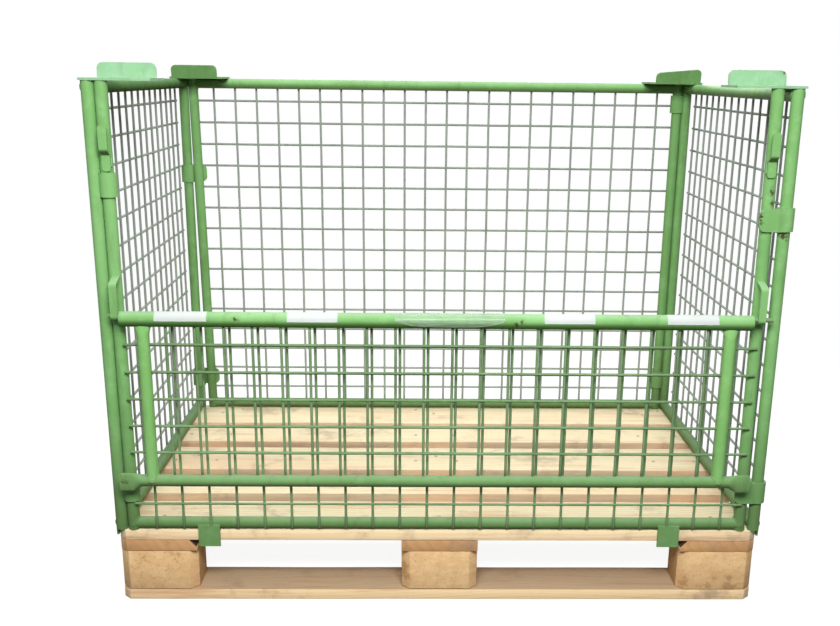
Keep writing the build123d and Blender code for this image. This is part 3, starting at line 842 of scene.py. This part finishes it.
# Pallet
@dataclass
class Pallet:
    """Boards, stringers, blocks and nails of the pallet."""

    edge: float = 1.6 * MM
    uneven: float = 1.1 * MM
    corner: float = 14 * MM
    block_edge: float = 16 * MM
    wane: float = 13 * MM
    cuts: int = 14

    def sawn(self, node: str, grain: Grain) -> bpy.types.Object:
        """Model one board or block with eased, slightly uneven edges.

        Args:
            node: The node that it stands for.
            grain: Which way its fibres run.

        Returns:
            The new piece.
        """
        low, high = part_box(node)
        bpy.ops.object.select_all(action="DESELECT")
        bpy.ops.mesh.primitive_cube_add(size=1, location=(low + high) / 2, scale=high - low)
        piece = bpy.context.active_object
        settle(piece)
        if node.startswith("block"):
            self.chamfer_upright(piece)
        else:
            self.cut_corners(piece)
        if node.startswith("stringer") and node != "stringer_middle":
            self.add_wane(piece)
        modified(piece, "BEVEL", width=self.edge, segments=2, limit_method="ANGLE",
                 angle_limit=math.radians(30))
        axis = 0 if grain is Grain.ALONG_X else 1
        reach = (high - low)[axis]
        pick(piece, Pick.EDGE, lambda middle, run: abs(run[axis]) > 0.8 * reach)
        with editing(piece, Pick.EDGE):
            bpy.ops.mesh.subdivide(number_cuts=self.cuts)
        modified(piece, "DISPLACE", texture=clouds(f"{node}_uneven", 0.09), strength=self.uneven,
                 mid_level=1.0)
        smoothed(piece)
        piece.name = f"{node}_sawn"
        return piece

    def cut_corners(self, piece: bpy.types.Object) -> None:
        """Cut the pallet's upright corners where the piece reaches them.

        Args:
            piece: The board or stringer.
        """
        low, high = PALLET_BOX
        for sx, x in ((-1, low.x), (1, high.x)):
            for sy, y in ((-1, low.y), (1, high.y)):
                place = Vector((x - sx * self.corner / 2, y - sy * self.corner / 2, 0))
                with editing(piece, Pick.FACE, whole=True):
                    bpy.ops.mesh.bisect(plane_co=place, plane_no=(sx, sy, 0), use_fill=True, clear_outer=True)

    def chamfer_upright(self, piece: bpy.types.Object) -> None:
        """Chamfer the four upright edges of a block."""
        pick(piece, Pick.EDGE, lambda middle, run: abs(run.z) > abs(run.x) + abs(run.y))
        with editing(piece, Pick.EDGE):
            bpy.ops.mesh.bevel(offset=self.block_edge, segments=1)

    def add_wane(self, piece: bpy.types.Object) -> None:
        """Take the bark edge off a stringer's upper inner edge.

        Args:
            piece: The stringer.
        """
        inner = min((abs(v.co.x), v.co.x) for v in piece.data.vertices)[1]
        top = max(v.co.z for v in piece.data.vertices)
        pick(piece, Pick.EDGE, lambda middle, run: abs(middle.x - inner) < MM and abs(middle.z - top) < MM)
        with editing(piece, Pick.EDGE):
            bpy.ops.mesh.bevel(offset=self.wane, segments=1)

    def build(self) -> None:
        """Replace the wood and dress the nails."""
        # The stringers' wane is near-black: bark with painted shade.
        brown = {"pale": (0.67, 0.40, 0.19), "amber": (0.51, 0.27, 0.11), "heart": (0.57, 0.31, 0.14),
                 "streak": (0.42, 0.22, 0.10), "dirt": 0.7, "wane_bark_and_shade": 1.0, "rings": 55.0}
        # The bottom boards' tops are darkened as painted shadow under the deck.
        bottom = {"pale": (0.92, 0.74, 0.45), "streak": (0.72, 0.42, 0.22), "streaks": 1.0, "dirt": 0.7,
                  "top_shade": 0.75}
        looks = {
            "deck_board": (Grain.ALONG_X, "pine_board", {}),
            "bottom_board": (Grain.ALONG_X, "pine_board", bottom),
            "stringer": (Grain.ALONG_Y, "pine_stringer", brown),
        }
        wood = sorted(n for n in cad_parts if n.startswith(tuple(looks)))
        for number, node in enumerate(wood):
            grain, slot, tones = next(looks[k] for k in looks if node.startswith(k))
            finish = Pine(f"pine_{node}", grain, seed=1.0 + number, **tones)
            if node == "deck_board_front":
                finish = replace(finish, streaks=0.85, streak=(0.72, 0.43, 0.24))
            # Inner deck boards get a darker edge colour: painted shade in the gaps between the boards.
            elif node.startswith("deck_board"):
                finish = replace(finish, edge=(0.80, 0.58, 0.40))
            dress(self.sawn(node, grain), "pallet", slot, finish.material(), node)
        blocks = sorted(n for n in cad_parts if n.startswith("block"))
        for number, node in enumerate(blocks):
            finish = PressedWood(f"chips_{node}", seed=1.0 + number)
            dress(self.sawn(node, Grain.ALONG_X), "pallet", "pine_block", finish.material(), node)
        nail = Steel("nail_steel", (0.58, 0.46, 0.32), (0.40, 0.27, 0.16), 0.6, 1.0)
        paint_node("pallet_nails", nail.material())


# Wire mesh
class Facing(Enum):
    """Outward side of a wire panel, as its axis and sign."""

    FRONT = (1, -1)
    REAR = (1, 1)
    LEFT = (0, -1)
    RIGHT = (0, 1)


@dataclass
class WirePanel:
    """Welded mesh of round wire: uprights against the tubes and crossing wires outside them.

    The uprights sink a little into the tubes, and the crossing wires are set down into the uprights.
    """

    node: str
    body: str
    facing: Facing
    columns: int
    rows: int
    first_row: float
    pitch: float = 50 * MM
    radius: float = 2.5 * MM
    set_down: float = 2.0 * MM
    sink: float = 1.0 * MM
    sides: int = 8
    wave: float = 1.0 * MM
    lug_top: float = 0.0
    lug_places: tuple[float, ...] = ()

    def wire(self, length: float, at: Vector, upright: bool, cuts: int) -> bpy.types.Object:
        """Model one straight wire with eased ends.

        Args:
            length: Its length.
            at: Its middle.
            upright: Whether it stands, or else lies across.
            cuts: How many times it is divided along its length.

        Returns:
            The wire.
        """
        axis, _ = self.facing.value
        turns = (0, 0, 0) if upright else ((0, math.pi / 2, 0) if axis == 1 else (math.pi / 2, 0, 0))
        bpy.ops.object.select_all(action="DESELECT")
        bpy.ops.mesh.primitive_cylinder_add(vertices=self.sides, radius=self.radius, depth=length,
                                            location=at, rotation=turns)
        piece = bpy.context.active_object
        settle(piece)
        run = 2 if upright else 1 - axis
        pick(piece, Pick.EDGE, lambda middle, way: abs(way[run]) > 0.9 * length)
        with editing(piece, Pick.EDGE):
            bpy.ops.mesh.subdivide(number_cuts=cuts)
        pick(piece, Pick.FACE, lambda middle, normal: abs(normal[run]) > 0.9)
        with editing(piece, Pick.FACE):
            bpy.ops.mesh.bevel(offset=self.radius * 0.3, segments=1)
        return piece

    def build(self, material: bpy.types.Material) -> bpy.types.Object:
        """Model the panel and put it in the node's place.

        Args:
            material: Its finish.

        Returns:
            The panel.
        """
        axis, sign = self.facing.value
        across = 1 - axis
        low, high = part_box(self.node)
        inner = low[axis] if sign > 0 else high[axis]
        upright_at = inner + sign * (self.radius - self.sink)
        crossing_at = upright_at + sign * self.set_down
        middle = (low + high) / 2
        first = middle[across] - (self.columns - 1) * self.pitch / 2

        def spot(along: float, through: float, z: float) -> Vector:
            """Place on the panel, from its own directions."""
            place = Vector((0, 0, z))
            place[across] = along
            place[axis] = through
            return place

        step = Vector((0, 0, 0))
        step[across] = self.pitch
        rise = Vector((0, 0, self.pitch))
        height = (high - low).z
        width = (high - low)[across]
        upright = self.wire(height, spot(first, upright_at, middle.z), True, 3 * self.rows)
        self.repeat(upright, self.columns, step)
        start = spot(middle[across], crossing_at, self.first_row)
        crossing = self.wire(width, start, False, 3 * self.columns)
        self.repeat(crossing, self.rows, rise)
        bpy.ops.object.select_all(action="DESELECT")
        knot_at = spot(first, (upright_at + crossing_at) / 2, self.first_row)
        bpy.ops.mesh.primitive_ico_sphere_add(subdivisions=1, radius=self.radius * 1.25, location=knot_at)
        knot = bpy.context.active_object
        settle(knot)
        self.repeat(knot, self.columns, step)
        self.repeat(knot, self.rows, rise)
        panel = joined([upright, crossing, knot], f"{self.node}_wires")
        for place in self.lug_places:
            near = self.pitch / 2
            pick(panel, Pick.VERT, lambda co: abs(co[across] - place) < near and co.z < self.lug_top)
            with editing(panel, Pick.VERT):
                bpy.ops.transform.resize(value=(1, 1, 0), center_override=(0, 0, self.lug_top))
        modified(panel, "DISPLACE", texture=clouds(f"{self.node}_wave", 0.11, True), strength=self.wave,
                 mid_level=0.5, direction="RGB_TO_XYZ")
        smoothed(panel, 50)
        dress(panel, self.body, "wire_paint", material, self.node)
        return panel

    @staticmethod
    def repeat(piece: bpy.types.Object, count: int, step: Vector) -> None:
        """Repeat a piece's mesh at even steps.

        Args:
            piece: The object.
            count: How many in all.
            step: From one to the next, in metres.
        """
        modified(piece, "ARRAY", count=count, use_relative_offset=False, use_constant_offset=True,
                 constant_offset_displace=step)


# Cage
@dataclass
class Welds:
    """Weld beads, gathered into one piece for each body."""

    bead: float = 1.9 * MM
    proud: float = 0.2 * MM
    lumps: float = 1.4 * MM
    lump_size: float = 3.5 * MM
    step: float = 2.5 * MM
    sides: int = 7

    def __post_init__(self) -> None:
        """Start with no beads."""
        self.parts: list[bpy.types.Object] = []

    def saddle(self, at: Vector, rail_axis: int, toward: float, post_axis: int = 2) -> None:
        """Bead round a rail's coped end.

        Args:
            at: Where the rail's axis meets the post's.
            rail_axis: The rail's axis number.
            toward: Sign of the way along the rail.
            post_axis: The post's axis number.
        """
        turn = {0: (0, math.pi / 2, 0), 1: (math.pi / 2, 0, 0), 2: (0, 0, 0)}[rail_axis]
        bpy.ops.object.select_all(action="DESELECT")
        bpy.ops.mesh.primitive_torus_add(location=at, rotation=turn, major_segments=36,
                                         minor_segments=self.sides, major_radius=TUBE + self.proud,
                                         minor_radius=self.bead)
        ring = bpy.context.active_object
        settle(ring)
        side_axis = 3 - rail_axis - post_axis
        for vertex in ring.data.vertices:
            off = vertex.co[side_axis] - at[side_axis]
            reach = math.sqrt(max(TUBE**2 - min(abs(off), TUBE) ** 2, 0.0))
            vertex.co[rail_axis] += toward * reach
        self.parts.append(ring)

    def run(self, start: Vector, end: Vector) -> None:
        """Straight bead with tapered ends.

        Args:
            start: One end.
            end: The other end.
        """
        way = end - start
        bpy.ops.object.select_all(action="DESELECT")
        turn = way.to_track_quat("Z", "Y").to_euler()
        bpy.ops.mesh.primitive_cylinder_add(vertices=self.sides, radius=self.bead, depth=way.length,
                                            location=(start + end) / 2, rotation=turn)
        bead = bpy.context.active_object
        settle(bead)
        pick(bead, Pick.EDGE, lambda middle, run: run.length > 0.8 * way.length)
        with editing(bead, Pick.EDGE):
            bpy.ops.mesh.subdivide(number_cuts=max(4, int(way.length / self.step)))
        pick(bead, Pick.FACE, lambda middle, normal: abs(normal.dot(way.normalized())) > 0.9)
        with editing(bead, Pick.FACE):
            bpy.ops.mesh.bevel(offset=self.bead * 0.6, segments=2)
        self.parts.append(bead)

    def build(self, name: str, body: str, material: bpy.types.Material) -> None:
        """Join the beads, make them lumpy and dress them.

        Args:
            name: The piece's name.
            body: The body that it rides on.
            material: Its finish.
        """
        piece = joined(self.parts, name)
        modified(piece, "DISPLACE", texture=clouds(f"{name}_lumps", self.lump_size), strength=self.lumps,
                 mid_level=0.5)
        smoothed(piece, 60)
        dress(piece, body, "tube_paint", material)


@dataclass
class Cage:
    """Four walls of tube with their straps, plates, lugs and wire."""

    paints: Paints
    full_first_row: float = 194 * MM
    front_first_row: float = 198.5 * MM
    full_rows: int = 15
    front_rows: int = 7
    long_columns: int = 22
    short_columns: int = 15
    lug_x: float = 425 * MM
    side_lug_y: float = 350 * MM
    staple_inset: float = 2 * MM
    hook_weld: Span = (6 * MM, 22 * MM)
    hook_weld_depth: float = 2.5 * MM
    plate_weld_offsets: Span = (4 * MM, 20 * MM)
    plate_weld_margin: float = 12 * MM
    plate_weld_drop: float = 0.5 * MM

    def panels(self) -> list[WirePanel]:
        """Plan the wire panels of the four walls.

        Returns:
            The panels, front, rear, left and right.
        """
        common = {"body": "cage", "lug_top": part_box("deck_lugs")[1].z + MM}
        full = {"rows": self.full_rows, "first_row": self.full_first_row}
        front = {"rows": self.front_rows, "first_row": self.front_first_row}
        long = {"columns": self.long_columns, "lug_places": (-self.lug_x, self.lug_x), **common}
        short = {"columns": self.short_columns, "lug_places": (-self.side_lug_y, self.side_lug_y), **common}
        return [
            WirePanel("front_wall_mesh", facing=Facing.FRONT, **front, **long),
            WirePanel("rear_wall_mesh", facing=Facing.REAR, **full, **long),
            WirePanel("left_wall_mesh", facing=Facing.LEFT, **full, **short),
            WirePanel("right_wall_mesh", facing=Facing.RIGHT, **full, **short),
        ]

    def add_welds(self) -> None:
        """Weld the rails to the posts and the straps to the tubes."""
        welds = Welds()
        for wall in ("front", "rear", "left", "right"):
            along = 0 if wall in ("front", "rear") else 1
            for rail in ("bottom", "mid", "top"):
                node = f"{wall}_wall_{rail}_rail"
                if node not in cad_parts:
                    continue
                low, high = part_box(node)
                middle = (low + high) / 2
                for end, toward in ((low, 1.0), (high, -1.0)):
                    at = middle.copy()
                    at[along] = end[along]
                    welds.saddle(at, along, toward)
        for side in ("left", "right"):
            self.weld_hook(welds, f"catch_hook_{side}")
            self.weld_staple(welds, f"hinge_staple_{side}")
            for end in ("front", "rear"):
                self.weld_plate(welds, f"stacking_plate_{end}_{side}")
        welds.build("cage_weld_beads", "cage", self.paints.tube)

    def weld_hook(self, welds: Welds, node: str) -> None:
        """Run upright beads along both edges of a catch hook's foot.

        Args:
            welds: Takes the beads.
            node: The hook.
        """
        low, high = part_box(node)
        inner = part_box("front_wall_post_left")[0].y + self.hook_weld_depth
        start, end = self.hook_weld
        for x in (low.x, high.x):
            welds.run(Vector((x, inner, low.z + start)), Vector((x, inner, low.z + end)))

    def weld_staple(self, welds: Welds, node: str) -> None:
        """Run beads across the upper and lower end of a hinge staple.

        Args:
            welds: Takes the beads.
            node: The staple.
        """
        low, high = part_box(node)
        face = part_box("front_wall_post_left")[0].y
        for z in (high.z - self.staple_inset, low.z + self.staple_inset):
            welds.run(Vector((low.x, face, z)), Vector((high.x, face, z)))

    def weld_plate(self, welds: Welds, node: str) -> None:
        """Run beads under a stacking plate along the side rail.

        Args:
            welds: Takes the beads.
            node: The plate.
        """
        low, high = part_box(node)
        outer = low.x if abs(low.x) > abs(high.x) else high.x
        inward = -1 if outer > 0 else 1
        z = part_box("front_wall_post_left")[1].z - self.plate_weld_drop
        margin = self.plate_weld_margin
        for offset in self.plate_weld_offsets:
            x = outer + inward * offset
            welds.run(Vector((x, low.y + margin, z)), Vector((x, high.y - margin, z)))

    def build(self) -> None:
        """Dress the tubes and straps, then add wire and welds."""
        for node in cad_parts:
            paint = self.paints.of(node)
            if paint:
                paint_node(node, paint)
        for panel in self.panels():
            # The rear and side panels get the pale wire paint, which is painted glare.
            panel.build(self.paints.wire if panel.facing is Facing.FRONT else self.paints.glare_wire)
        self.add_welds()


# Flap
@dataclass
class Flap:
    """Hanging flap: wire, bushes, labels and film on its hinge rail."""

    paints: Paints
    first_row: float = 304 * MM
    columns: int = 20
    rows: int = 5
    label_spans: tuple[Span, ...] = ((-499, -409), (-270, -183), (177, 265), (392, 482))
    label_top: float = 118.0
    label_low: float = 12.0
    label_lip: float = 3.5 * MM
    label_gap: float = 0.1 * MM
    label_creases: float = 0.5 * MM
    paper: float = 0.25 * MM
    film_span: Span = (-83, 108)
    film_gap: float = 0.7 * MM
    film_creases: float = 1.0 * MM
    film_thickness: float = 0.08 * MM

    def rail(self) -> tuple[Vector, float]:
        """Middle and radius of the hinge rail."""
        low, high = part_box("flap_hinge_rail")
        return (low + high) / 2, (high.z - low.z) / 2

    def wrap(self, span: Span, radius: float, cuts: int) -> bpy.types.Object:
        """Open tube round the hinge rail.

        Args:
            span: From and to along X, in millimetres.
            radius: Its radius.
            cuts: How many times it is divided along its length.

        Returns:
            The tube.
        """
        middle, _ = self.rail()
        first, last = (x * MM for x in span)
        at = Vector(((first + last) / 2, middle.y, middle.z))
        bpy.ops.object.select_all(action="DESELECT")
        bpy.ops.mesh.primitive_cylinder_add(vertices=64, radius=radius, depth=last - first, location=at,
                                            rotation=(0, math.pi / 2, 0), end_fill_type="NOTHING")
        piece = bpy.context.active_object
        settle(piece)
        pick(piece, Pick.EDGE, lambda spot, run: abs(run.x) > 0.9 * (last - first))
        with editing(piece, Pick.EDGE):
            bpy.ops.mesh.subdivide(number_cuts=cuts)
        return piece

    def label(self, number: int, span: Span, material: bpy.types.Material) -> None:
        """Paper label over the top and front of the rail, its lower edge standing off.

        Args:
            number: Its number in the row.
            span: From and to along X, in millimetres.
            material: The paper.
        """
        middle, radius = self.rail()
        piece = self.wrap(span, radius + self.label_gap, 8)

        def angle(spot: Vector) -> float:
            """Degrees round the rail, from its front over its top."""
            return math.degrees(math.atan2(spot.z - middle.z, middle.y - spot.y))

        pick(piece, Pick.FACE, lambda spot, normal: not self.label_low < angle(spot) < self.label_top)
        with editing(piece, Pick.FACE):
            bpy.ops.mesh.delete(type="FACE")
        lowest = min(angle(v.co) for v in piece.data.vertices)
        pick(piece, Pick.EDGE, lambda spot, run: abs(angle(spot) - lowest) < 2 and abs(run.x) > abs(run.z))
        with editing(piece, Pick.EDGE):
            drop = Vector((0, -0.25, -1)).normalized() * self.label_lip
            bpy.ops.mesh.extrude_region_move(TRANSFORM_OT_translate={"value": drop})
        modified(piece, "SOLIDIFY", thickness=self.paper, offset=1.0)
        modified(piece, "DISPLACE", texture=clouds(f"label_{number}_creases", 0.02),
                 strength=self.label_creases, mid_level=0.3)
        smoothed(piece, 40)
        piece.name = f"rail_label_{number}"
        dress(piece, "flap", "label_paper", material)

    def film(self, material: bpy.types.Material) -> None:
        """Clear film wrapped round the middle of the rail.

        Args:
            material: The film's finish.
        """
        _, radius = self.rail()
        piece = self.wrap(self.film_span, radius + self.film_gap, 30)
        modified(piece, "DISPLACE", texture=clouds("film_creases", 0.03), strength=self.film_creases,
                 mid_level=0.4)
        modified(piece, "SOLIDIFY", thickness=self.film_thickness, offset=1.0)
        smoothed(piece, 50)
        piece.name = "rail_film"
        dress(piece, "flap", "clear_film", material)

    def build(self) -> None:
        """Dress the bushes, then add wire, welds, labels and film."""
        paint_node("hinge_bushes", Nylon("bush_nylon", (0.03, 0.03, 0.032)).material())
        panel = WirePanel("flap_mesh", "flap", Facing.FRONT, self.columns, self.rows, self.first_row,
                          set_down=2.4 * MM, sink=0.0)
        panel.build(self.paints.wire)
        welds = Welds()
        rail_low, rail_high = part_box("flap_free_rail")
        for side in ("left", "right"):
            low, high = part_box(f"flap_side_tube_{side}")
            x = (low.x + high.x) / 2
            at = Vector((x, (rail_low.y + rail_high.y) / 2, (rail_low.z + rail_high.z) / 2))
            welds.saddle(at, 2, 1.0, post_axis=0)
        welds.build("flap_weld_beads", "flap", self.paints.tube)
        paper = LabelPaper("label_paper").material()
        for number, span in enumerate(self.label_spans, 1):
            self.label(number, span, paper)
        first, last = self.film_span
        finish = ClearFilm("clear_film", middle=(first + last) / 2 * MM, half=(last - first) / 2 * MM)
        self.film(finish.material())


# Studio
@dataclass
class Studio:
    """Floor, light and camera."""

    sky: float = 0.25
    ground: float = 0.04
    key_power: float = 60.0
    key_size: Span = (1.2, 0.7)
    key_from: Place = (-0.03, -2.0, 1.75)
    key_aim: Place = (0.0, -0.2, 0.6)
    top_power: float = 34.0
    top_size: Span = (1.6, 0.7)
    top_from: Place = (0.0, 0.2, 2.7)
    top_aim: Place = (0.0, 0.1, 0.2)
    rear_power: float = 16.0
    rear_size: Span = (1.8, 1.0)
    rear_from: Place = (0.3, 2.3, 1.5)
    rear_aim: Place = (0.0, 0.2, 0.5)
    floor_half: float = 12.0
    floor_bounce: float = 0.12
    floor_shade: float = 0.18
    floor_fade: Span = (0.9, 2.6)
    image_width: float = 840.0
    image_height: float = 626.0
    focal: float = 1090.6
    principal: Span = (439.6, 413.3)
    eye: Place = (-0.0499, -2.2860, 0.9606)
    yaw: float = 1.418
    pitch: float = 17.288
    roll: float = -0.704
    sensor: float = 36.0

    def seen(self, graph: Graph) -> Value:
        """One for rays that show the background: camera, glossy and transmission."""
        path = graph.node("ShaderNodeLightPath", {}, {})
        named = {socket.name: index for index, socket in enumerate(path.socket.node.outputs)}
        return (path.output(named["Is Camera Ray"]) + path.output(named["Is Glossy Ray"])
                + path.output(named["Is Transmission Ray"])).above(0.0, 1.0)

    def light(self) -> None:
        """White world with a soft sky, and large lamps in front, overhead and behind."""
        world = bpy.data.worlds.new("studio_world")
        bpy.context.scene.world = world
        graph = Graph(world)
        way = graph.node("ShaderNodeTexCoord", {}, {}, output=0)
        height = graph.node("ShaderNodeSeparateXYZ", {}, {0: way}).output(2)
        level = height.above(-0.3, 0.6) * (self.sky - self.ground) + self.ground
        soft = graph.node("ShaderNodeBackground", {}, {"Color": (1, 1, 1, 1), "Strength": level})
        white = graph.node("ShaderNodeBackground", {}, {"Color": (1, 1, 1, 1), "Strength": 1.0})
        shown = graph.node("ShaderNodeMixShader", {}, {0: self.seen(graph), 1: soft, 2: white})
        graph.node("ShaderNodeOutputWorld", {}, {"Surface": shown})
        self.softbox("front_softbox", self.key_power, self.key_size, self.key_from, self.key_aim)
        self.softbox("overhead_softbox", self.top_power, self.top_size, self.top_from, self.top_aim)
        self.softbox("rear_softbox", self.rear_power, self.rear_size, self.rear_from, self.rear_aim)

    @staticmethod
    def softbox(name: str, power: float, size: Span, at: Place, aim: Place) -> None:
        """Add one oblong area lamp that the camera doesn't see.

        Args:
            name: The lamp's name.
            power: Its power in watts.
            size: Its width and height in metres.
            at: Where it hangs.
            aim: The point that it faces.
        """
        bpy.ops.object.select_all(action="DESELECT")
        bpy.ops.object.light_add(type="AREA", location=at)
        lamp = bpy.context.active_object
        lamp.name = name
        lamp.data.energy = power
        lamp.data.shape = "RECTANGLE"
        lamp.data.size, lamp.data.size_y = size
        lamp.visible_camera = False
        lamp.rotation_euler = (Vector(aim) - Vector(at)).to_track_quat("-Z", "Y").to_euler()

    def floor(self) -> None:
        """Pale floor that shows white and keeps the shadow."""
        bpy.ops.object.select_all(action="DESELECT")
        bpy.ops.mesh.primitive_plane_add(size=2 * self.floor_half, location=(0, 0, -0.5 * MM))
        ground = bpy.context.active_object
        ground.name = "studio_floor"
        made = bpy.data.materials.new("studio_floor")
        graph = Graph(made)
        bounce, shade = self.floor_bounce, self.floor_shade
        dim = graph.node("ShaderNodeBsdfDiffuse", {}, {"Color": (bounce, bounce, bounce, 1)})
        lit = graph.node("ShaderNodeBsdfDiffuse", {}, {"Color": (shade, shade, shade, 1)})
        glow = graph.node("ShaderNodeEmission", {}, {"Color": (1, 1, 1, 1), "Strength": 1 - shade / 2})
        near = graph.node("ShaderNodeAddShader", {}, {0: lit, 1: glow})
        far = graph.node("ShaderNodeEmission", {}, {"Color": (1, 1, 1, 1), "Strength": 1.0})
        reach = graph.node("ShaderNodeVectorMath", {"operation": "LENGTH"}, {0: graph.place()}, output=1)
        pale = graph.node("ShaderNodeMixShader", {}, {0: reach.above(*self.floor_fade), 1: near, 2: far})
        shown = graph.node("ShaderNodeMixShader", {}, {0: self.seen(graph), 1: dim, 2: pale})
        graph.node("ShaderNodeOutputMaterial", {}, {"Surface": shown})
        ground.data.materials.append(made)

    def camera(self) -> None:
        """Camera at the photograph's place, with its frame's shift."""
        yaw, pitch, roll = (math.radians(a) for a in (self.yaw, self.pitch, self.roll))
        ahead = Vector((math.sin(yaw) * math.cos(pitch), math.cos(yaw) * math.cos(pitch), -math.sin(pitch)))
        right = Vector((math.cos(yaw), -math.sin(yaw), 0))
        down = ahead.cross(right)
        across = right * math.cos(roll) + down * math.sin(roll)
        below = down * math.cos(roll) - right * math.sin(roll)
        data = bpy.data.cameras.new("camera")
        data.sensor_fit = "HORIZONTAL"
        data.sensor_width = self.sensor
        data.lens = self.focal * self.sensor / self.image_width
        data.shift_x = (self.image_width / 2 - self.principal[0]) / self.image_width
        data.shift_y = (self.principal[1] - self.image_height / 2) / self.image_width
        data.clip_start = 0.05
        camera = bpy.data.objects.new("camera", data)
        bpy.context.scene.collection.objects.link(camera)
        turn = Matrix((across, -below, -ahead)).transposed()
        camera.matrix_world = Matrix.Translation(self.eye) @ turn.to_4x4()
        bpy.context.scene.camera = camera
        bpy.context.scene.view_settings.view_transform = "Standard"

    def build(self) -> None:
        """Set the stage."""
        self.light()
        self.floor()
        self.camera()


def main() -> None:
    """Build the object piece by piece, then the studio."""
    logging.basicConfig(level=logging.INFO, format="%(message)s")
    Pallet().build()
    paints = Paints()
    Cage(paints).build()
    Flap(paints).build()
    Studio().build()


if __name__ == "__main__":
    main()
